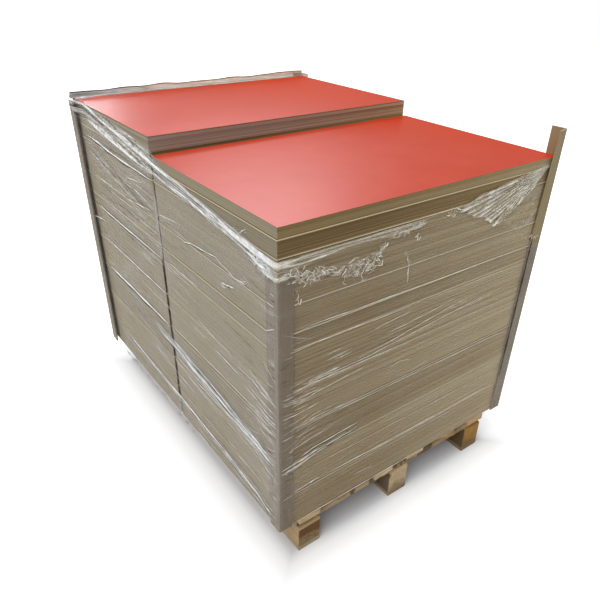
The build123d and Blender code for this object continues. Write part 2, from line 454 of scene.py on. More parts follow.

# %% [markdown]
# ## Pallet wood
#
# The pallet is nailed from rough sawn softwood. Grain runs along each piece, so the noise is
# stretched along that piece's length, and folding it into saw teeth gives the darker late wood
# lines. The blocks are sawn from other timber than the boards: some pale, some orange brown,
# and the near one dark red brown above and olive below. Their sides are painted dark, a painted
# shade where the deck keeps them out of the light.

# %% Pallet pieces
def wood(name, along, tone, warm, shift):
    """Sawn softwood whose grain runs along one axis.

    tone is 0 for pale and 1 for dark, and warm is 0 for grey yellow and 1 for orange. Both may
    go past these.
    """
    finish = Finish("wood_" + name, Roughness=0.8, Specular_IOR_Level=0.25)
    scale = [1.0, 1.0, 1.0]
    scale[along] = 0.07
    grain_place = finish.stretched(scale, (shift, shift * 0.7, shift * 1.3))
    rings = finish.noise(grain_place, 22.0, 4.0, 0.55)
    late = ((rings * 8.0).math("FRACT") - 0.5).math("ABSOLUTE").step(0.25, 0.5)
    stain = finish.noise(finish.stretched((1, 1, 1), (shift, shift, 0)), 9.0, 4.0)
    fuzz = finish.noise(grain_place, 420.0, 2.0)
    knot_place = finish.stretched((1, 1, 1), (shift * 3, shift * 5, shift * 2))
    knots = finish.node("TexVoronoi", Vector=knot_place, Scale=7.0)
    dark = 1 - 0.62 * tone
    deep = (0.42 * dark, (0.295 - 0.05 * warm) * dark, (0.160 - 0.08 * warm) * dark)
    pale = (0.62 * dark, (0.495 - 0.11 * warm) * dark, (0.320 - 0.16 * warm) * dark)
    colour = finish.paint(
        finish.ramp(stain, (0.32, deep), (0.62, pale)),
        (late * 0.40, (0.29 * dark, 0.165 * dark, 0.07 * dark)),
        (knots.near(0.0, 0.13) * 0.6, (0.16, 0.085, 0.035)),
        (fuzz.step(0.55, 0.8) * 0.25, (0.16, 0.10, 0.05)),
    )
    z = finish.axes()[2]
    sideways, forward = finish.facing()[:2]
    if name == "block_front_left":
        ragged = z + (stain - 0.5) * 0.05 + (fuzz - 0.5) * 0.02
        red_brown = finish.paint((0.060, 0.027, 0.008), (stain, (0.24, 0.110, 0.030)))
        end_colour = finish.paint(
            (0.13, 0.085, 0.032),
            (stain, (0.42, 0.290, 0.130)),
            (ragged.step(0.048, 0.062), red_brown),
            (late * 0.6, (0.07, 0.035, 0.016)),
            (z.step(0.092, 0.096), (0.43, 0.32, 0.18)),
            (z.step(0.024, 0.020), (0.24, 0.20, 0.15)),
        )
        coats = [(forward.step(-0.5, -0.9), end_colour)]
    elif "block" in name:
        # Painted shade: the blocks' sides are darkened where the deck keeps them out of the light.
        side_painted_shade = sideways.math("ABSOLUTE").step(0.5, 0.9)
        foot = (z + (stain - 0.5) * 0.06).step(0.060, 0.020)
        coats = [(side_painted_shade * 0.82, (0.060, 0.042, 0.024)), (foot * 0.55, (0.10, 0.07, 0.04))]
    elif name == "stringer_front":
        # Painted shade: dark patches stand for the shaded gaps and notches between the deck boards' ends.
        notch_painted_shade = finish.noise(finish.stretched((1, 1, 0.5)), 26.0, 4.0).step(0.50, 0.55)
        coats = [(notch_painted_shade * 0.80, (0.070, 0.043, 0.021))]
    else:
        coats = []
    finish.feed(Base_Color=finish.paint(colour, *coats))
    finish.bump(fuzz * 0.6 + late * 0.4, 0.0007)
    return finish


# Tone and warmth of the pieces that show best; the others get a mixed one by their number
timber = {
    "block_front_left": (0.2, 0.3), "block_front_middle": (-0.1, 0.1),
    "block_front_right": (0.45, 1.4), "stringer_front": (0.40, 0.5),
    "deck_board_1": (-0.2, 0.2), "deck_board_2": (0.65, 0.6), "deck_board_3": (-0.3, 0.1),
    "deck_board_4": (-0.6, 0.0), "deck_board_5": (0.4, 0.7), "deck_board_6": (-0.1, 0.5),
    "bottom_runner_left": (0.45, 0.1), "bottom_runner_middle": (0.7, 0.2),
    "bottom_runner_right": (0.9, 0.4),
}
wooden = sorted(n for n in nodes if n.startswith(("block", "stringer", "deck", "bottom")))
for i, name in enumerate(wooden):
    along = 0 if name.startswith("stringer") else 1
    tone, warm = timber.get(name, (0.1 + 0.4 * ((i * 7) % 5) / 5, ((i * 3) % 7) / 7))
    wood(name, along, tone, warm, i * 1.37).dress(nodes[name])
print("wooden pieces:", len(wooden))

# %% [markdown]
# ## Corner guards
#
# The guards are angle strips of pressed grey-brown cardboard, with faint streaks along their
# length and paler cut ends. Where the right ones stand free of the film they are yellower, and
# the parts that rise above the rear stack are pale with film.

# %% Guards
guard_finish = Finish("guard_board", Roughness=0.7, Specular_IOR_Level=0.3)
streak = guard_finish.noise(guard_finish.stretched((1, 1, 0.05)), 260.0, 4.0)
blotch = guard_finish.noise(guard_finish.stretched((1, 1, 0.4)), 14.0, 4.0)
x, y, z = guard_finish.axes()
forward, upward = guard_finish.facing()[1:]
bare_part = z.step(0.80, 0.86) * x.step(0.3, 0.4)
# Painted shade: the legs that face the front are darker, as less light falls on the front.
front_leg_painted_shade = forward.step(-0.5, -0.9) * x.step(-0.3, -0.4)
cut_end = upward.step(0.5, 0.9)
over_rear = z.step(rear_top - 0.004, rear_top) * y.step(0.3, 0.4)
pressed = guard_finish.ramp(
    streak * 0.5 + blotch * 0.5,
    (0.30, (0.150, 0.112, 0.074)),
    (0.55, (0.220, 0.174, 0.122)),
    (0.80, (0.305, 0.248, 0.180)),
)
guard_colour = guard_finish.paint(
    pressed,
    (bare_part * 0.55, (0.37, 0.285, 0.125)),
    (front_leg_painted_shade * 0.45, (0.150, 0.105, 0.060)),
    (cut_end * 0.7, (0.52, 0.44, 0.29)),
    (over_rear * (0.8 - 0.7 * cut_end), (0.80, 0.70, 0.62)),
)
guard_finish.feed(Base_Color=guard_colour)
guard_finish.bump(streak, 0.0004)
guards = sorted(name for name in nodes if name.startswith("corner_guard"))
guard_finish.dress(*[nodes[name] for name in guards])
print("guards:", len(guards))

# %% [markdown]
# ## The stretch film: where it lies
#
# Film is wound around the load under tension. It is clear, so what shows is a thin grey veil and
# bright creases. Everything made of film is a surface in two parameters: s, the way around the
# load, and z, the height. s is zero at the near corner, grows along the front and then up the
# right side, and is negative on the left side.
#
# Two rounded outlines give the place for every s: an outer one over the guards' faces and an
# inner one on the boards. The film runs on the outer one at a guard and dips to the inner one
# between the guards.

# %% The way around the load
guard_low, guard_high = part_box("corner_guard_front_left")
rear_left_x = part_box("corner_guard_rear_left")[0].x
left, near = guard_low.x, guard_low.y
right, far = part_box("corner_guard_front_right")[1].x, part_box("corner_guard_rear_right")[1].y
guard_t = 0.005
guard_leg = guard_high.x - guard_low.x
width = right - left
depth = far - near
corner_steps = 9


def outline(inset, r):
    """Points and outward directions along a rounded outline, set in from the guards' faces.

    It starts at the rear left corner and runs down the left side, along the front, up the
    right side and back along the rear. Each corner is a quarter circle of radius r.
    """
    back = left + inset if inset else rear_left_x
    centres = [
        (back + r, far - inset - r, np.pi / 2),
        (left + inset + r, near + inset + r, np.pi),
        (right - inset - r, near + inset + r, 1.5 * np.pi),
        (right - inset - r, far - inset - r, 2.0 * np.pi),
    ]
    rows = []
    for cx, cy, start in centres:
        a = start + np.linspace(0, np.pi / 2, corner_steps)
        rows.append(np.stack([cx + r * np.cos(a), cy + r * np.sin(a), np.cos(a), np.sin(a)], 1))
    return np.concatenate([*rows, rows[0][:1]])


outer_way, inner_way = outline(0.0, 0.004), outline(guard_t, 0.0012)
way_gaps = np.linalg.norm(np.diff(outer_way[:, :2], axis=0), axis=1)
way_s = np.concatenate([[0], np.cumsum(way_gaps)])
way_s = way_s - way_s[corner_steps + corner_steps // 2]
s_first, s_last = way_s[0], way_s[-1]
print("way around the load:", round(s_last - s_first, 3), "m")


def smooth(t):
    """0 below 0, 1 above 1, and the cubic 3t^2 - 2t^3 between."""
    t = np.clip(t, 0, 1)
    return t * t * (3 - 2 * t)


def film_point(s, z, lift=0.0, pressed=0.0):
    """The film's place at distance s around the load and height z.

    It is the outer outline's point at a guard and the inner one's between the guards, blended
    over 80 mm, and the inner one above the near guard. Between the proud boards the film sags
    by 1.5 mm. lift moves it outward, and pressed = 1 keeps it on the boards everywhere. Above
    the rear stack's top the film leans in over the boards.
    """
    s, z, lift = np.broadcast_arrays(np.asarray(s, float), np.asarray(z, float), lift)
    corners = np.array([s_first, 0.0, width, width + depth, s_last])
    to_corner = np.abs(s[..., None] - corners).min(-1)
    inside = smooth((to_corner - guard_leg) / 0.08)
    bare = smooth((z - guard_high.z) / 0.02) * (np.abs(s) < 0.3)
    inside = np.maximum(np.maximum(inside, bare), pressed)
    outer = np.stack([np.interp(s, way_s, outer_way[:, k]) for k in range(4)], -1)
    inner = np.stack([np.interp(s, way_s, inner_way[:, k]) for k in range(4)], -1)
    way = outer + (inner - outer) * inside[..., None]
    out = way[..., 2:] / np.linalg.norm(way[..., 2:], axis=-1, keepdims=True)
    to_ledge = np.abs((z - load_low + board / 2 + pack / 2) % pack - pack / 2)
    sag = 0.0015 * smooth(to_ledge / 0.03) * inside
    over = np.maximum(z - rear_top, 0)
    away = 0.0006 + lift - sag - over * 0.6
    return np.concatenate([way[..., :2] + out * away[..., None], (z - over * 0.25)[..., None]], -1)


# %% [markdown]
# Random detail has to be the same on every run, so it comes from one seeded generator. Smooth
# noise for the shapes is a grid of random numbers, read with cubic blending. Ridged noise folds
# it at its middle value, which gives thin bright lines like the creases of crumpled film.

# %% Repeatable noise
dice = np.random.default_rng(7)
lattice_size = 64
lattice = dice.random((lattice_size, lattice_size))


def soft_noise(u, v):
    """Smooth noise from 0 to 1: the lattice's values blended with the cubic 3t^2 - 2t^3."""
    iu, iv = np.floor(u).astype(int), np.floor(v).astype(int)
    fu, fv = smooth(u - iu), smooth(v - iv)
    near_u, far_u = iu % lattice_size, (iu + 1) % lattice_size
    near_v, far_v = iv % lattice_size, (iv + 1) % lattice_size
    first = lattice[near_u, near_v] * (1 - fu) + lattice[far_u, near_v] * fu
    second = lattice[near_u, far_v] * (1 - fu) + lattice[far_u, far_v] * fu
    return first * (1 - fv) + second * fv


def ridged(u, v, sharp=6):
    """Thin ridges from 0 to 1: one minus twice the distance of the noise from its middle, to
    the power sharp, the larger of two sizes of noise."""
    wide = 1 - 2 * np.abs(soft_noise(u, v) - 0.5)
    fine = 1 - 2 * np.abs(soft_noise(u * 2.3 + 7, v * 2.3 + 5) - 0.5)
    return np.maximum(wide**sharp, 0.7 * fine**sharp)


def film_piece(name, points, shine, ring=False):
    """A mesh from a grid of points, or from a stack of grids, with the attribute shine.

    points has the shape (..., rows, columns, 3), and every cell becomes one quad. With ring,
    the last row is joined to the first. Points that coincide are merged, which closes seams.
    shine runs from 0 for clear film to 1 for white, and to -1 for a fold that looks dark. It is
    stored as (shine + 1) / 2, since a finish reads no value below 0.
    """
    rows, columns = points.shape[-3], points.shape[-2]
    sheets = points.reshape(-1, rows * columns, 3)
    index = np.arange(rows * columns).reshape(rows, columns)
    if ring:
        index = np.concatenate([index, index[:1]])
    cells = np.stack([index[:-1, :-1], index[:-1, 1:], index[1:, 1:], index[1:, :-1]], -1).reshape(-1, 4)
    offsets = np.arange(len(sheets))[:, None, None] * rows * columns
    faces = (cells[None] + offsets).reshape(-1, 4)
    mesh = bpy.data.meshes.new(name)
    mesh.vertices.add(sheets.shape[0] * rows * columns)
    mesh.vertices.foreach_set("co", sheets.astype(np.float32).ravel())
    mesh.loops.add(faces.size)
    mesh.loops.foreach_set("vertex_index", faces.astype(np.int32).ravel())
    mesh.polygons.add(len(faces))
    mesh.polygons.foreach_set("loop_start", np.arange(0, faces.size, 4, dtype=np.int32))
    mesh.update()
    layer = mesh.attributes.new("shine", "FLOAT", "POINT")
    stored = (np.clip(np.broadcast_to(shine, points.shape[:-1]), -1, 1) + 1) / 2
    layer.data.foreach_set("value", stored.astype(np.float32).ravel())
    form = bmesh.new()
    form.from_mesh(mesh)
    bmesh.ops.remove_doubles(form, verts=form.verts, dist=1e-6)
    form.to_mesh(mesh)
    form.free()
    mesh.validate()
    mesh.polygons.foreach_set("use_smooth", np.ones(len(mesh.polygons), bool))
    made = bpy.data.objects.new(name, mesh)
    bpy.context.scene.collection.objects.link(made)
    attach(made, "root")
    print(name, "faces:", len(mesh.polygons))
    return made


# %% [markdown]
# ## The main wrap
#
# The wrap is one grid of cells about 8 mm wide. Its upper edge falls along the left side to the
# near corner, is level on the front, drops to the right guard and rises again on the right
# side. Its lower edge is straight on the front, and ragged and hanging elsewhere. Over the gap
# between the stacks and beside the rear left guard it is clearest, so the dark shows through.
# Only near the foot and above two thirds of the height is it dull over the gap.

# %% Edges of the wrap
film_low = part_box("stretch_film")[0].z
rope_s, rope_low, rope_top = np.array([
    # s, then the lower and the upper edge of the rope above the load's foot
    (s_first, 0.978, 1.010), (-1.240, 0.955, 1.012), (-1.110, 0.936, 1.004),
    (-0.975, 0.918, 0.998), (-0.785, 0.902, 0.986), (-0.655, 0.895, 0.974), (-0.585, 0.892, 0.938),
    (-0.385, 0.876, 0.916), (-0.235, 0.862, 0.899), (-0.135, 0.842, 0.890),
    (-0.035, 0.826, 0.881), (0.000, 0.822, 0.880), (0.060, 0.846, 0.878),
    (0.250, 0.857, 0.878), (0.450, 0.856, 0.877), (0.580, 0.868, 0.880),
]).T
rope_low, rope_top = load_low + rope_low, load_low + rope_top


def film_top(s):
    """Height of the film's upper edge: the rope's on the left and the near front, then down to
    the right guard and up again to the rear."""
    marks_s = [*rope_s, 0.80, width - guard_leg, width, width + depth - 0.02, s_last]
    drop = [0.955, 0.840, 0.826, rear_top + 0.004, rope_top[0]]
    return np.interp(s, marks_s, [*rope_top, *drop])


def film_bottom(s):
    """Height of the film's lower edge: straight on the front, ragged and hanging elsewhere."""
    hang = smooth(np.minimum(np.abs(s), np.abs(s - width)) / 0.05)
    hang = hang * ((s < 0) | (s > width))
    at_seam = smooth(np.minimum(s - s_first, s_last - s) / 0.06)
    ragged = 0.6 + at_seam * (0.75 * soft_noise(s * 11.0 + 20, s * 0 + 3.3) - 0.35)
    return load_low - 0.001 - hang * ragged * (load_low - film_low)


# %% Creases of the wrap
# The wrap's cells, and the dark gap beside the rear left guard
cell_wide = 0.0085
wrap_rows = 116
guard_gap_s = -1.235


def pull_creases(s, z):
    """Height of the film's creases from 0 to 1: three ridged waves along the pull.

    On the left side they fall towards the near corner, and on the front they rise from it, so
    the waves run in z minus a slope times the distance from that corner.
    """
    from_corner = np.minimum(np.abs(s), s_last - s_first - np.abs(s))
    total = np.zeros_like(z)
    for length, slope, seed in ((0.019, 0.09, 3.0), (0.033, 0.14, 11.0), (0.061, 0.05, 23.0)):
        bend = 0.6 * soft_noise(from_corner * 3 + seed, z * 5 + seed)
        wave = 1 - np.abs(np.sin(np.pi * ((z - slope * from_corner) / length + bend)))
        here = smooth(soft_noise(from_corner * 4.0 + seed * 2, z * 11 + seed) * 2.2 - 0.9)
        total += wave**4 * here
    return np.clip(total, 0, 1.4)


s_line = np.unique(np.concatenate([np.arange(s_first, s_last, cell_wide), way_s]))
S, T = np.meshgrid(s_line, np.linspace(0, 1, wrap_rows))
low, high = film_bottom(S), film_top(S)
Z = low + (high - low) * T
seam_fade = smooth(np.minimum(S - s_first, s_last - S) / 0.03)
ridge = pull_creases(S, Z) * seam_fade * (0.30 + 0.40 * smooth(-S / 0.01))
over_gap = smooth(1.6 - np.abs(S + depth / 2) / 0.009)
by_guard = smooth(1.4 - np.abs(S - guard_gap_s) / 0.04)
on_front = smooth(S / 0.01) * smooth((width - S) / 0.01)
near_leg = on_front * smooth((guard_leg + 0.005 - S) / 0.01)
clear = 1 - np.maximum(0.90 * over_gap, 0.65 * by_guard)
height = Z - load_low
dull = smooth((height - 0.62) / 0.03) * smooth((0.85 - height) / 0.03) + smooth((0.10 - height) / 0.03)
veil = (0.12 - 0.04 * on_front - 0.05 * near_leg + 0.20 * ridge) * clear + 0.27 * over_gap * dull
wrap = film_piece("stretch_film_wrap", film_point(S, Z, lift=0.0008 * ridge), veil)
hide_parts("stretch_film")

# %% [markdown]
# ## Creases, strands and crumples
#
# A crease shows as a thin white line. Each is a ribbon that follows a straight or bent line in
# s and z, with a raised middle and tapered ends. One function makes a whole bundle of them from
# arrays, so a wall of creases is a few numbers. The heights in its tables are above the load's
# foot.

# %% Ribbons
def ribbons(s0, z0, s1, z1, wide, arch=0.0, bend=0.0, twist=0.0, steps=18):
    """Points of n ribbons, three rows each, with t running from -1 to 1 along them.

    The middle line goes from (s0, z0) to (s1, z1), z being the height above the load's foot.
    bend moves it sideways by 1 - t^2 and a small wave, and arch lifts it off the film by
    1 - t^2. The half width is wide times about 1 - t^4, so the ends taper, and twist stands
    one edge up and the other down.
    """
    s0, z0, s1, z1, wide, arch, bend, twist = (
        np.broadcast_to(np.asarray(v, float), len(s0))[:, None]
        for v in (s0, z0, s1, z1, wide, arch, bend, twist)
    )
    z0, z1 = load_low + z0, load_low + z1
    t = np.linspace(-1, 1, steps)[None]
    along = np.hypot(s1 - s0, z1 - z0)
    ds, dz = (s1 - s0) / along, (z1 - z0) / along
    phase = (s0 * 37 + z0 * 91) % 6.28
    side = bend * (1 - t * t) + 0.15 * bend * np.sin(7 * t + phase)
    s_mid = s0 + (s1 - s0) * (t + 1) / 2 - dz * side
    z_mid = z0 + (z1 - z0) * (t + 1) / 2 + ds * side
    half = wide * (1.02 - t**4) * (0.75 + 0.25 * np.sin(11 * t + phase * 3))
    rows = []
    for k in (-1, 0, 1):
        edge = half * k * np.cos(twist)
        lift = 0.0012 + arch * (1 - t * t) + half * (0.6 * (k == 0) + k * np.sin(twist))
        rows.append(film_point(s_mid - dz * edge, z_mid + ds * edge, np.maximum(lift, 0.0004)))
    return np.stack(rows, 1)


def ribbon_piece(name, points, low, high):
    """A piece of ribbons. Each has a shine of its own from low to high, and less at its edges."""
    own = dice.uniform(low, high, (len(points), 1, 1))
    return film_piece(name, points, own * np.array([0.65, 1.0, 0.65])[None, :, None])


def level(s0, s1, heights):
    """Long ribbons at the given heights."""
    return ribbons(np.full(len(heights), s0), heights, s1, heights, 0.0016, 0.0004, 0.0008, steps=60)


def bundle(count, s_range, z_range, slope, lengths, wide):
    """Ribbons scattered over a field, all leaning by about the same slope."""
    centre_s, centre_z = dice.uniform(*s_range, count), dice.uniform(*z_range, count)
    span = lengths[0] + (lengths[1] - lengths[0]) * dice.random(count) ** 2
    lean = slope + dice.normal(0, 0.012, count)
    s0 = np.clip(centre_s - span / 2, *s_range)
    s1 = np.maximum(np.clip(centre_s + span / 2, *s_range), s0 + 0.01)
    z0, z1 = centre_z - lean * (s1 - s0) / 2, centre_z + lean * (s1 - s0) / 2
    size = wide * dice.uniform(0.5, 1.3, count)
    return ribbons(s0, z0, s1, z1, size, 0.0006, dice.normal(0, 0.0015, count))


def gathered(count, spread, lengths, wide, *marks):
    """Ribbons gathered in a band: each is a piece of the line through the marks, which are s
    and height in turn, moved up or down by about half the spread."""
    at, high = np.array(marks[0::2]), np.array(marks[1::2])
    centre, span = dice.uniform(at[0], at[-1], count), dice.uniform(*lengths, count)
    start, end = np.maximum(centre - span / 2, at[0]), np.minimum(centre + span / 2, at[-1])
    aside = dice.normal(0, spread / 2, count)
    z0, z1 = np.interp(start, at, high) + aside, np.interp(end, at, high) + aside * 0.8
    size = wide * dice.uniform(0.5, 1.3, count)
    return ribbons(start, z0, end, z1, size, 0.0006, dice.normal(0, 0.002, count))


# %% [markdown]
# Fine creases are scattered all over the film. On the left side they run down towards the near
# corner, and on the front they fan out from it. Some are bright and some dark, as a fold shows
# the bright or the dark side of the room.

# %% Fine creases
# Painted highlights where the film stretches over the proud boards on the right side and the rear
far_sides = np.concatenate([
    level(width + 0.05, width + depth - 0.05, [0.378, 0.504, 0.630]),
    level(width + depth + 0.05, s_last - 0.05, [0.252, 0.504, 0.756, 0.882]),
])
fields = (
    # Number, range of s, range of height, slope, lengths and half width. First the left side:
    # fine creases all over it, and more of them where the film is gathered
    (26, (-0.76, -0.01), (0.235, 0.325), -0.10, (0.12, 0.5), 0.0009),
    (16, (-0.45, -0.01), (0.195, 0.250), -0.08, (0.10, 0.35), 0.0009),
    (16, (-1.12, -0.02), (0.040, 0.095), -0.050, (0.15, 0.6), 0.0010),
    (12, (-1.24, -0.80), (0.300, 0.365), -0.05, (0.08, 0.35), 0.0009),
    (130, (-1.22, -0.03), (0.01, 0.80), -0.04, (0.05, 0.35), 0.0009),
    (70, (-1.24, -0.66), (0.64, 0.90), 0.00, (0.05, 0.30), 0.0009),
    # Both legs of the near guard
    (50, (-0.048, -0.006), (0.02, 0.80), -0.03, (0.03, 0.04), 0.0012),
    (50, (0.006, 0.048), (0.02, 0.62), 0.02, (0.03, 0.04), 0.0009),
    # Front: low streaks that rise from the near corner
    (14, (0.03, 0.29), (0.22, 0.27), 0.08, (0.05, 0.22), 0.0008),
    (34, (0.03, 0.24), (0.28, 0.60), 0.04, (0.05, 0.18), 0.0011),
    (14, (0.03, 0.75), (0.50, 0.57), 0.09, (0.15, 0.5), 0.0007),
    (40, (0.03, 1.00), (0.01, 0.72), 0.02, (0.04, 0.25), 0.0006),
    # Right side and rear
    (120, (width + 0.02, width + depth - 0.03), (0.02, 0.66), 0.08, (0.06, 0.5), 0.0010),
    (90, (width + depth + 0.03, s_last - 0.03), (0.02, 0.96), 0.04, (0.06, 0.4), 0.0010),
)
bands = (
    # Number, spread, lengths, half width and marks. The two bands of the left side, the upper
    # left of it, and the low streaks of the front
    (44, 0.028, (0.15, 0.50), 0.0016, -0.80, 0.326, -0.60, 0.308, -0.40, 0.286, -0.20, 0.268, -0.01, 0.260),
    (30, 0.014, (0.15, 0.50), 0.0014, -1.12, 0.104, -0.80, 0.090, -0.45, 0.072, -0.20, 0.054, -0.01, 0.040),
    (40, 0.050, (0.10, 0.40), 0.0010, -1.22, 0.870, -0.90, 0.800, -0.66, 0.770),
    (26, 0.016, (0.06, 0.20), 0.0013, 0.006, 0.236, 0.12, 0.256, 0.29, 0.276),
)
bright_bands = (
    # White lines that run onto the near guard from both sides, and more along the two bands
    (30, 0.150, (0.06, 0.14), 0.0011, -0.17, 0.420, -0.004, 0.415),
    (20, 0.200, (0.03, 0.12), 0.0009, 0.008, 0.400, 0.14, 0.412),
    (12, 0.022, (0.20, 0.50), 0.0015, -0.80, 0.330, -0.60, 0.312, -0.40, 0.290, -0.20, 0.271, -0.01, 0.262),
    (8, 0.010, (0.20, 0.50), 0.0014, -1.12, 0.106, -0.80, 0.092, -0.45, 0.074, -0.20, 0.056, -0.01, 0.042),
)
banded = [gathered(*band) for band in bands]
bright = np.concatenate([gathered(*band) for band in bright_bands])
scattered = np.concatenate([bundle(*field) for field in fields] + banded)
far_creases = ribbon_piece("film_far_creases", far_sides, 0.8, 0.95)
bright_lines = ribbon_piece("film_bright_bands", bright, 0.5, 1.2)
streaks = ribbon_piece("film_streaks", scattered, -0.9, 1.1)

# %% [markdown]
# The strongest creases have places of their own. Each row below is one crease: its half width
# in millimetres, its shine, and then s and the height, in millimetres too, for every mark along
# it. A crease casts a thin shadow, so a dark ribbon lies just below every strong one.

# %% Creases that stand out
marked = (
    # Left side: painted highlights where the film stretches over the proud boards of the rear stack
    (3.0, 0.9, -1210, 897, -1085, 894, -1005, 886, -835, 882, -660, 880),
    (2.6, 0.8, -1210, 640, -1095, 635, -655, 632), (1.8, 0.7, -950, 633, -655, 632),
    (2.4, 0.7, -1210, 511, -655, 507), (4.0, 1.0, -1210, 384, -1000, 385, -660, 383),
    (1.5, 0.5, -640, 393, -400, 392, -50, 391), (1.6, 0.45, -435, 519, -315, 509),
    # The gathered band and the lines about it
    (2.2, 0.9, -800, 336, -600, 328, -435, 312, -335, 302, -210, 290),
    (3.2, 1.0, -750, 314, -600, 299, -400, 283, -200, 272, -35, 272),
    (2.4, 1.0, -620, 298, -400, 281, -220, 271), (5.0, 0.3, -630, 274, -350, 262),
    (1.5, 1.0, -600, 306, -420, 292, -240, 278), (1.4, 1.0, -300, 284, -120, 272, -10, 279),
    (1.3, 1.0, -360, 262, -160, 254, -10, 257), (1.5, 1.0, -720, 322, -550, 312, -400, 300),
    (6.0, 0.45, -260, 262, -50, 261), (2.0, 0.8, -480, 252, -400, 254, -310, 250),
    (2.0, 0.7, -260, 245, -150, 238, -30, 245), (1.8, 0.8, -140, 228, -10, 208),
    (1.8, 0.8, -600, 235, -460, 224, -400, 220), (1.8, 0.6, -820, 258, -660, 250),
    (2.0, 0.8, -860, 208, -700, 199, -560, 190, -510, 186), (3.0, 0.5, -820, 220, -700, 212),
    (1.6, 0.8, -1030, 357, -900, 352), (1.8, 0.7, -1250, 588, -1170, 583),
    # The lower band and the foot
    (2.2, 1.0, -1110, 109, -1050, 106, -955, 100), (3.0, 0.45, -1000, 101, -750, 92),
    (4.2, 0.7, -800, 94, -600, 86, -450, 77, -270, 70), (7.0, 0.3, -400, 62, -50, 46),
    (3.2, 0.8, -320, 71, -200, 60, -100, 50, -15, 44), (2.0, 0.6, -270, 30, -70, 26),
    # The lines that run onto the near guard
    (1.8, 0.9, -330, 465, -280, 462, -190, 454), (1.5, 0.7, -210, 484, -10, 474),
    (1.6, 0.8, -130, 430, -10, 425), (1.4, 0.6, -120, 411, -5, 411),
    (1.3, 0.6, -100, 375, -10, 372), (1.3, 0.5, -100, 338, -10, 336),
    (1.5, 0.6, -150, 502, -30, 489), (1.4, 0.6, -470, 474, -390, 474),
    # Fine lines higher up on the left side
    (1.2, 0.6, -635, 784, -515, 797), (1.5, 0.8, -475, 752, -435, 764, -275, 779),
    (1.3, 0.7, -300, 779, -195, 759, -145, 762, -128, 776), (1.3, 0.7, -605, 639, -400, 637),
    (1.6, 0.9, -265, 713, -225, 721, -200, 727), (1.2, 0.6, -875, 834, -735, 851),
    (1.2, 0.7, -880, 759, -695, 776), (1.4, 0.7, -1155, 829, -1120, 831),
    (1.4, 0.7, -1065, 824, -1020, 829), (1.1, 0.5, -985, 806, -925, 806),
    (1.3, 0.5, -895, 714, -655, 711), (1.2, 0.5, -815, 592, -735, 587),
    (1.2, 0.6, -46, 684, -6, 707), (1.2, 0.5, -36, 594, -4, 599),
    # Front: painted highlights where the film stretches over the proud boards
    (1.2, 0.9, 37, 684, 350, 680, 955, 676), (1.1, 0.8, 30, 630, 450, 625),
    (1.0, 0.5, 450, 624, 955, 620), (1.3, 0.8, 40, 372, 955, 367),
    (1.1, 0.45, 50, 201, 955, 198), (2.6, 0.5, 180, 139, 450, 134, 965, 134),
    (1.2, 0.4, 180, 118, 955, 116), (1.7, 0.9, 50, 3, 620, 3), (1.0, 0.5, 450, 882.5, 600, 882.5),
    # Front: the lines that fan out from the near corner
    (1.2, 0.7, 240, 520, 400, 534, 520, 551, 620, 563, 700, 572),
    (1.2, 0.7, 80, 509, 150, 513, 300, 513, 400, 521, 550, 534, 700, 545, 840, 558),
    (3.0, 0.5, 90, 516, 200, 521), (1.1, 0.6, 30, 505, 300, 504, 460, 500),
    (1.1, 0.6, 307, 594, 457, 607), (1.0, 0.6, 360, 563, 500, 573, 640, 589),
    (1.0, 0.6, 700, 537, 870, 556), (1.2, 0.7, 40, 458, 120, 468, 300, 484),
    (1.3, 0.7, 10, 430, 130, 427), (1.1, 0.6, 40, 388, 270, 381),
    (1.8, 0.9, 70, 267, 130, 274, 285, 284), (2.0, 0.9, 40, 250, 120, 257, 260, 263),
    (3.5, 0.6, 6, 236, 85, 244), (2.4, 0.6, 50, 142, 145, 140),
    (1.4, 0.5, 280, 66, 360, 60), (1.0, 0.4, 450, 473, 550, 476),
    (1.2, 0.5, 390, 436, 430, 443, 475, 433), (1.2, 0.5, 480, 386, 545, 397),
    # One that hangs down from the rope on the front
    (1.5, 0.45, 402, 800, 412, 775, 420, 730, 422, 700),
    # A painted shadow: the dark strip in the fold beside the right guard
    (4.0, -0.9, 965.5, 160, 966.0, 420, 966.5, 690), (3.0, -1.0, 966, 600, 967, 710),
)


def marked_crease(half, shine, *marks, drop=0.0, steps=46):
    """One crease along its marks: three rows of points, and their shine.

    The height is linear between the marks, plus a wave of half a millimetre. The half width is
    up to about 1.3 times the row's and tapers at both ends. drop moves the ribbon down by a
    number of half widths.
    """
    t = np.linspace(-1, 1, steps)
    at, high = np.array(marks[0::2]) / 1000, np.array(marks[1::2]) / 1000
    way = np.linspace(0, 1, len(at))
    s, z = np.interp((t + 1) / 2, way, at), np.interp((t + 1) / 2, way, high)
    z = load_low + z + 0.0005 * np.sin(9 * t + 40 * at[0])
    wide = 1.3 * half / 1000 * (1.02 - t**6) * (0.8 + 0.2 * np.sin(13 * t + 60 * at[0]))
    across = np.hypot(at[-1] - at[0], high[-1] - high[0])
    ds, dz = (at[-1] - at[0]) / across, (high[-1] - high[0]) / across
    rows = []
    for k in (-1, 0, 1):
        edge = wide * (k - drop)
        rows.append(film_point(s - dz * edge, z + ds * edge, 0.0012 + 0.3 * wide * (k == 0)))
    broken = 1.0 + 0.5 * soft_noise(s * 45, z * 90)
    return np.stack(rows), shine * np.array([0.6, 1.0, 0.6])[:, None] * broken


strong = [c for c in marked if c[1] >= 0.6 and 1.4 < c[0] < 5]
made = [marked_crease(*crease) for crease in marked]
made += [marked_crease(half * 0.8, -0.7 * shine, *marks, drop=2.2) for half, shine, *marks in strong]
crease_points, crease_shine = (np.stack(parts) for parts in zip(*made))
main_creases = film_piece("film_creases", crease_points, crease_shine)

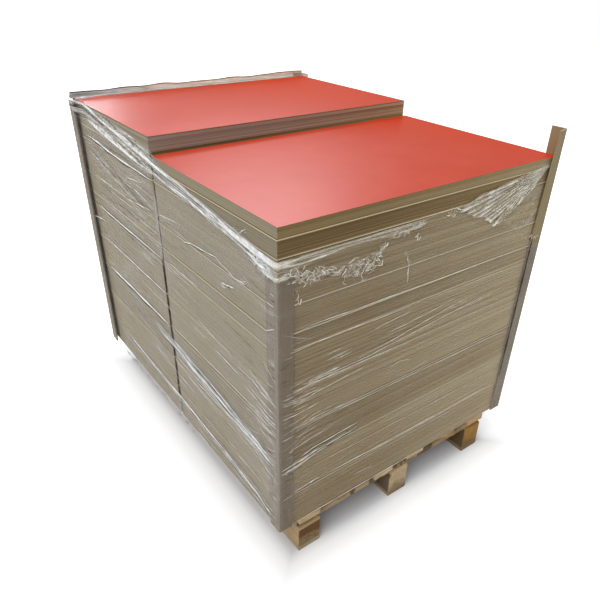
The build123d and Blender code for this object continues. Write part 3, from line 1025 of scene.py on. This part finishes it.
# %% [markdown]
# ## The roped upper edge
#
# The upper edge of the film has been gathered into a rope. It is a narrow silky sheet in which
# a few cords stand out. Each cord is given by marks along its way: the distance s, the height
# and the half width in millimetres, and the strength. Between the cords the film is clear, so
# the boards show.

# %% Rope
def cord(s, z, marks):
    """The height of one cord from 0 to 1: its strength times exp(-d^2), d being the distance
    from its middle line over 1.2 times its half width. It fades over 30 mm at both ends."""
    at, middle, half, strength = np.array(marks).T / [[1000], [1000], [1000], [1]]
    d = (z - load_low - np.interp(s, at, middle)) / (1.2 * np.interp(s, at, half))
    ends = smooth((s - at[0]) / 0.03) * smooth((at[-1] - s) / 0.03)
    return np.interp(s, at, strength) * np.exp(-d * d) * ends


cords = (
    # The upper cord, from the rear left corner around the near corner
    ((-1340, 1008, 4, 0.6), (-1195, 1006, 5, 0.9), (-1035, 982, 5, 0.8), (-835, 957, 6, 0.7),
     (-655, 936, 6, 0.9), (-535, 922, 4, 0.7), (-335, 903, 5, 0.7), (-215, 887, 6, 0.8),
     (-65, 871, 8, 1.0), (4, 870, 7, 1.0), (70, 872, 3, 0.3)),
    # The lower cord, which meets the upper one
    ((-1180, 958, 3, 0.1), (-1110, 951, 6, 0.8), (-1035, 941, 8, 1.0), (-975, 934, 8, 1.0),
     (-785, 914, 7, 0.8), (-655, 905, 6, 0.5), (-585, 903, 4, 0.6), (-385, 887, 4, 0.5),
     (-235, 880, 5, 0.8), (-135, 873, 5, 0.7), (10, 860, 4, 0.5)),
    # A third one that leaves the rope towards the guard's top
    ((-300, 877, 3, 0.2), (-185, 866, 4, 0.7), (-135, 859, 4, 0.7), (-85, 848, 4, 0.6),
     (-35, 838, 5, 0.6), (50, 832, 4, 0.4)),
    # Faint ones between, a hazy strip above, and two on the front
    ((-1300, 985, 3, 0.3), (-1035, 962, 3, 0.4), (-700, 925, 3, 0.3)),
    ((-1050, 990, 8, 0.25), (-850, 976, 14, 0.35), (-630, 955, 14, 0.25)),
    ((-20, 866, 3, 0.5), (62, 856, 2.5, 0.5), (132, 860, 2.5, 0.7), (182, 864, 2, 0.5),
     (250, 866, 2, 0.3), (360, 859, 2, 0.6), (430, 859, 3, 0.9), (468, 866, 3, 0.9)),
    ((-20, 872, 2, 0.5), (200, 873, 2, 0.35), (460, 872, 2, 0.3)),
)
# The rope ends on the front, and its silk lies on the left side and around the near corner
rope_end = 0.475
silk_end = 0.06
turns = way_s[np.abs(way_s) < 0.05]
rope_cells = np.unique([*np.arange(s_first + 0.003, rope_end, 0.006), *turns])
S, V = np.meshgrid(rope_cells, np.linspace(0, 1, 48))
low, high = np.interp(S, rope_s, rope_low), np.interp(S, rope_s, rope_top) - 0.001
Z = low + (high - low) * V
body = np.minimum(sum(cord(S, Z, marks) for marks in cords), 1.0)
below_cord = Z - load_low - np.interp(S, *(np.array(cords[0]).T[:2] / 1000))
silk = ridged(S * 5, below_cord * 230 + 3, 4)
# Painted reflection: dark lines between the silk's folds, where the film shows the dark side of the room.
silk_dark_reflection = ridged(S * 6 + 5, below_cord * 260 + 9, 5)
fade = smooth(V / 0.15) * smooth((1 - V) / 0.06) * smooth((rope_end - S) / 0.03)
white = 0.10 + 0.65 * silk * (S < silk_end) + 1.3 * body * (0.45 + 0.75 * silk)
rope = film_piece(
    "film_rope",
    film_point(S, Z, 0.0013 + (0.0045 * body + 0.0008 * silk) * fade),
    (white - 1.1 * silk_dark_reflection * (1 - 0.5 * body) * (S < silk_end)) * (0.25 + 0.75 * fade),
)

# %% [markdown]
# A few thin strands have come loose from the rope. Each is a thin tube whose height wanders
# between the rope's two edges.

# %% Strands
def strands(s0, s1, radius, steps=150):
    """Points of tubes: rings of six points along a wandering line in s and z.

    The line's height is a fraction of the way from the rope's lower to its upper edge, the
    fraction being a constant plus two sine waves. The radius swells and thins along the tube
    and goes to zero at its ends.
    """
    count = len(s0)
    t = np.linspace(0, 1, steps)[None]
    s = s0[:, None] + (s1 - s0)[:, None] * t
    middle = np.linspace(0.05, 0.95, count)[:, None]
    phase = dice.uniform(0, 6.28, (count, 3))
    waves = 0.16 * np.sin(s * 9 + phase[:, :1]) + 0.08 * np.sin(s * 23 + phase[:, 1:2])
    part = np.clip(middle + waves, 0.0, 1.0)
    low_z, high_z = np.interp(s, rope_s, rope_low), np.interp(s, rope_s, rope_top)
    z = low_z + (high_z - low_z) * part
    thick = radius[:, None] * (0.7 + 0.3 * np.sin(s * 31 + phase[:, 2:]))
    thick = thick * smooth(t / 0.06) * smooth((1 - t) / 0.06)
    lift = 0.001 + thick * 0.8 + 0.0015 * (1 + np.sin(s * 13 + phase[:, 1:2]))
    angles = np.linspace(0, 2 * np.pi, 6, endpoint=False)
    return np.stack([film_point(s, z + thick * np.sin(a), lift + thick * np.cos(a)) for a in angles], 1)


loose_start = np.array([-1.27, -1.10, -0.90, -0.62, -0.40, -0.12, 0.05])
loose_end = np.array([-0.70, -0.35, -0.02, 0.02, 0.16, 0.42, 0.56])
radii = np.array([0.7, 0.5, 0.8, 0.6, 0.5, 0.6, 0.5]) / 1000
loose_strands = film_piece("film_strands", strands(loose_start, loose_end, radii), 0.55, ring=True)

# %% [markdown]
# ## Curls and crumples
#
# Loose film crumples into curls. At the near corner a bunch of them hangs on the front face,
# and smaller ones lie further right and on the left side. A curl is a short ribbon that arches
# off the film and twists. Under the curls lies a crumpled sheet whose folds are ridged noise.

# %% Curls
def curls(spine_s, spine_z, count, spread, length, slope=0.0, arch=0.006):
    """Short arched ribbons scattered about a spine given by two lists of s and height."""
    t = dice.random(count) * (len(spine_s) - 1)
    knots = np.arange(len(spine_s))
    s = np.interp(t, knots, spine_s) + dice.normal(0, spread, count)
    z = np.interp(t, knots, spine_z) + dice.normal(0, spread, count)
    angle = slope + dice.normal(0, 0.55, count)
    span = length * dice.uniform(0.35, 1.25, count)
    ds, dz = np.cos(angle) * span / 2, np.sin(angle) * span / 2
    size = dice.uniform(0.0006, 0.0020, count)
    bend = dice.normal(0, 0.18, count) * span
    lift = arch * dice.random(count) ** 1.5
    return ribbons(s - ds, z - dz, s + ds, z + dz, size, lift, bend, dice.uniform(-0.9, 0.9, count))


curl_fields = (
    # Spine, number, spread, length and slope
    ([0.01, 0.06, 0.10], [0.840, 0.832, 0.828], 40, 0.005, 0.026, 0.2),
    ([0.05, 0.10, 0.15], [0.828, 0.822, 0.815], 80, 0.010, 0.022, -0.6),
    ([0.14, 0.22, 0.27, 0.30], [0.812, 0.80, 0.803, 0.80], 110, 0.009, 0.024, 0.1),
    ([0.19, 0.24, 0.28], [0.780, 0.782, 0.785], 26, 0.005, 0.026, 0.2),
    ([0.29, 0.31, 0.33], [0.81, 0.822, 0.842], 24, 0.004, 0.020, 0.9),
    ([0.048, 0.050, 0.060], [0.795, 0.775, 0.760], 7, 0.004, 0.018, 1.4),
    ([0.36, 0.41, 0.46], [0.856, 0.859, 0.864], 16, 0.003, 0.030, 0.15),
    ([0.43, 0.44], [0.845, 0.826], 7, 0.003, 0.020, 1.0),
    ([-0.128, -0.15, -0.19], [0.776, 0.763, 0.758], 12, 0.003, 0.030, 0.3),
    ([-0.20, -0.265], [0.725, 0.712], 12, 0.003, 0.025, 0.1),
    ([0.955, 0.975, 0.985], [0.706, 0.704, 0.716], 14, 0.004, 0.022, 0.2),
    ([-0.13, -0.17, -0.21], [0.902, 0.900, 0.892], 9, 0.003, 0.024, 0.5),
    ([-0.04, -0.10, -0.02], [0.845, 0.856, 0.835], 22, 0.006, 0.040, -0.2),
    ([0.53, 0.57, 0.61], [0.868, 0.872, 0.876], 16, 0.003, 0.028, 0.15),
    ([0.402, 0.412, 0.42, 0.422], [0.80, 0.775, 0.73, 0.70], 10, 0.0012, 0.028, -1.45, 0.002),
)
# Curls along the foot of the left side, mostly dark: a painted shadow under the load's edge.
foot_fields = (
    ([-0.55, -0.75, -0.95, -1.10], [-0.006, -0.008, -0.014, -0.010], 60, 0.006, 0.035),
    ([-1.10, -1.15, -1.19], [-0.012, -0.020, -0.012], 50, 0.006, 0.030),
)
curled, at_foot = (np.concatenate([curls(*c) for c in group]) for group in (curl_fields, foot_fields))
foot_curls = ribbon_piece("film_foot_curls", at_foot, -0.8, 0.3)
# Some loose curls are dark: painted shade in the film's folds.
loose_curls = ribbon_piece("film_curls", curled, -0.35, 1.3)


# %% Crumpled sheets
def crumple(s_line, low_line, high_line, seed, rise=0.004, columns=110, rows=34):
    """A crumpled sheet between a lower and an upper edge, and its shine.

    u runs along and v across. The edges are ragged by noise, the height off the film is rise
    times ridged noise, and both fade towards the edges, so that the sheet starts on the film.
    """
    u, v = np.meshgrid(np.linspace(0, 1, columns), np.linspace(0, 1, rows))
    knots = np.linspace(0, 1, len(s_line))
    s = np.interp(u, knots, s_line)
    low_rag = 0.012 * (soft_noise(u * 13 + seed, u * 0 + seed) - 0.5)
    high_rag = 0.008 * (soft_noise(u * 11, u * 0 + seed + 5) - 0.5)
    low_z = load_low + np.interp(u, knots, low_line) + low_rag
    high_z = load_low + np.interp(u, knots, high_line) + high_rag
    z = low_z + (high_z - low_z) * v
    warp = 0.8 * soft_noise(s * 40 + seed, z * 40)
    folds = ridged(s * 55 + warp + seed, z * 75 + warp, 5)
    edge = smooth(np.minimum(v, 1 - v) / 0.12) * smooth(np.minimum(u, 1 - u) / 0.05)
    return film_point(s, z, 0.0014 + rise * folds * edge), (0.60 * folds - 0.10) * edge


crumples = [
    crumple([0.0, 0.06, 0.12, 0.2, 0.27, 0.32], [0.828, 0.805, 0.795, 0.778, 0.776, 0.828],
            [0.846, 0.842, 0.836, 0.818, 0.826, 0.85], 1.5, 0.006),
    crumple([0.33, 0.38, 0.42, 0.46], [0.850, 0.846, 0.842, 0.866], [0.866, 0.872, 0.874, 0.876], 6.5),
    crumple([-0.12, -0.07, -0.03, 0.0], [0.842, 0.832, 0.822, 0.824], [0.868, 0.866, 0.858, 0.846], 9.5),
]
sheet_points, sheet_shine = (np.stack(parts) for parts in zip(*crumples))
crumpled = film_piece("film_crumples", sheet_points, sheet_shine)

# %% [markdown]
# ## The pleated flap at the right
#
# On the right the film's edge was pulled up under the tall guard, and the loose part between
# hangs in pleats that run together at the guard. So the flap is a fan: its rays start at one
# point beside the guard, and the folds depend mostly on the ray's angle.

# %% Fan of pleats
fan_s, fan_z = width - 0.030, load_low + 0.937
fan_angles = np.radians([6.5, 9, 13, 17.4, 21, 25, 31.3, 34, 37, 40])
fan_reach = np.array([0.30, 0.41, 0.36, 0.335, 0.30, 0.292, 0.275, 0.262, 0.18, 0.10])
A, R = np.meshgrid(np.linspace(fan_angles[0], fan_angles[-1], 170), np.linspace(1.0, 0.03, 90))
fan_r = R * np.interp(A, fan_angles, fan_reach) * (0.97 + 0.06 * soft_noise(A * 40, A * 0 + 2.0))
fan_x, fan_y = fan_s - fan_r * np.cos(A), fan_z - fan_r * np.sin(A)
facet = (A * 22 + 1.8 * soft_noise(A * 7 + 4, R * 4)) % 1
pleat = (1 - np.abs(2 * facet - 1)) ** 3
cross = ridged(A * 30 + 3, fan_r * 40 + 1, 7)
fold = np.clip(0.8 * pleat + 0.5 * cross, 0, 1)
patch = smooth(soft_noise(A * 13 + 3, fan_r * 22 + 6) * 2.6 - 0.7)
rim = smooth((R - 0.95) / 0.02) * smooth((A - 0.38) / 0.05)
# Painted highlights: the pleats' lit upper edge and one bright spot.
lit_edge_highlight = np.exp(-(((A - fan_angles[1]) / 0.03) ** 2))
painted_highlight_spot = np.exp(-(((fan_x - 0.920) / 0.022) ** 2 + ((fan_y - load_low - 0.907) / 0.016) ** 2))
shadow = (1 - fold) ** 4 * smooth(soft_noise(A * 9, fan_r * 15) * 2.4 - 0.9)
fan_shine = 0.13 + (0.30 + 0.55 * patch) * fold + 0.4 * rim + 0.3 * lit_edge_highlight * fold
fan_shine = (fan_shine + 0.4 * painted_highlight_spot - 0.55 * shadow) * smooth((1.005 - R) / 0.02 + 0.3)
fan_points = film_point(fan_x, fan_y, 0.0012 + 0.007 * fold * smooth(fan_r / 0.1), 1.0)
fan = film_piece("film_fan", fan_points, fan_shine)

flap_start = 0.585
flap_u, flap_v = np.meshgrid(np.linspace(0, 1, 40), np.linspace(0, 1, 24))
flap_s = flap_start + (width - 0.048 - flap_start) * flap_u
flap_low = film_top(flap_s) - 0.004
flap_high = load_low + 0.879 + 0.062 * flap_u
flap_z = flap_low + (flap_high - flap_low) * flap_v
flap_fold = ridged(flap_s * 9 + 2, (flap_z - 0.17 * flap_s) * 34, 7)
flap = film_piece("film_flap", film_point(flap_s, flap_z, 0.0006 * flap_fold, 1.0), 0.05 + 0.3 * flap_fold)

# %% [markdown]
# ## The crest at the rear
#
# Along the rear edge the film stands above the boards. Seen against the light its gathered folds
# are grey at the left and yellowish at the right.

# %% Crest
S, V = np.meshgrid(np.linspace(width + depth + 0.003, s_last - 0.001, 240), np.linspace(0, 1, 18))
crest_high = 0.026 + 0.012 * soft_noise(S * 13, S * 0 + 9.1)
Z = rear_top - 0.010 + (crest_high + 0.010) * V
crest_fold = ridged(S * 7, V * 4 + 0.6 * soft_noise(S * 11, V * 2), 4)
crest_shine = np.where(V > 0.88, 1.0, 0.72 + 0.20 * crest_fold)
crest = film_piece("film_crest", film_point(S, Z, 0.0008 + 0.0025 * crest_fold), crest_shine)

# %% [markdown]
# The gathered film also lies a little way in over the red face, most at the rear left corner,
# where it dulls the red to pink.

# %% Film over the rear edge
rear_low, rear_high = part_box("rear_top_board")
U, V = np.meshgrid(np.linspace(0, 1, 160), np.linspace(0, 1, 16))
lip_x = rear_low.x + 0.001 + (rear_high.x - rear_low.x - 0.002) * U
from_left = lip_x - rear_low.x
lip_wide = 0.014 + 0.060 * np.exp(-from_left / 0.06) + 0.008 * soft_noise(U * 30, U * 0 + 4)
lip_fold = ridged(U * 22, V * 3 + 0.5 * soft_noise(U * 30, V), 4)
lip_points = np.stack([lip_x, rear_high.y - 0.001 - lip_wide * V, rear_top + 0.0015 + 0.002 * lip_fold], -1)
lip_shine = (0.20 + 0.50 * lip_fold + 0.30 * np.exp(-from_left / 0.09)) * (1 - V) ** 1.3
lip = film_piece("film_lip", lip_points, lip_shine)

# %% [markdown]
# ## Film finish
#
# Three finishes: the wrap is nearly clear, and its veil grows with the attribute shine and with
# thin noise drawn out along the pull. Creases and curls are thicker, so they are whiter, or
# dark where their shine is negative, and let less through. Their white is partly a painted
# highlight, and their dark is painted shadow and dark reflection. On the front they look cream.
# The crest is darker, as film is when it stands before a bright ground, and it glows faintly in
# its own colour, which is painted light.

# %% Clear and white film
wrap_finish = Finish("stretch_film", Base_Color=(0.80, 0.80, 0.77), Roughness=0.24)
haze = wrap_finish.noise(wrap_finish.place(), 5.0, 4.0)
fine = wrap_finish.noise(wrap_finish.stretched((0.3, 0.3, 12.0)), 16.0, 4.0, 0.6)
threads = wrap_finish.noise(wrap_finish.stretched((0.3, 0.3, 46.0), (3, 1, 2)), 9.0, 3.0, 0.6)
drawn = haze + 0.4 + fine.step(0.54, 0.76) * 0.4 + threads.step(0.55, 0.75) * 0.9
wrap_finish.feed(Alpha=(wrap_finish.shine() * drawn).math("MINIMUM", 0.9))
wrap_finish.dress(wrap, flap)

# Painted light: the crest glows faintly in its own colour through its emission.
crest_finish = Finish("film_crest", Roughness=0.6, Emission_Strength=0.25)
x = crest_finish.axes()[0]
cream = (x + crest_finish.noise(crest_finish.place(), 9.0) * 0.3).step(-0.30, 0.10)
lines = crest_finish.noise(crest_finish.stretched((0.08, 1, 3)), 90.0, 3.0).step(0.42, 0.62)
pale = crest_finish.paint((0.24, 0.24, 0.185), (cream, (0.66, 0.57, 0.32)))
dark = crest_finish.paint((0.035, 0.032, 0.018), (cream, (0.28, 0.21, 0.07)))
shine = crest_finish.shine()
crest_colour = crest_finish.paint(dark, (lines, pale), (shine.step(0.94, 0.98), dark))
crest_finish.feed(Base_Color=crest_colour, Alpha=shine, Emission_Color=crest_colour)
crest_finish.dress(crest)

crease_finish = Finish("film_crease")
shine = crease_finish.shine()
patch = crease_finish.noise(crease_finish.place(), 60.0, 3.0)
on_face = crease_finish.axes()[1].step(near + 0.02, near + 0.01)
bright = shine.step(-0.04, 0.04)
tint = crease_finish.paint((0.95, 0.955, 0.95), (on_face, (0.93, 0.89, 0.77)))
crease_finish.feed(
    Base_Color=crease_finish.paint((0.012, 0.010, 0.006), (bright, tint)),
    Roughness=bright * -0.7 + 0.9,
    Alpha=(shine.math("ABSOLUTE") * (patch * 1.3 + 0.25)).math("MINIMUM", 0.95),
)
film_parts = [
    main_creases, far_creases, bright_lines, streaks, rope, loose_strands, loose_curls, foot_curls,
    crumpled, fan, lip,
]
crease_finish.dress(*film_parts)
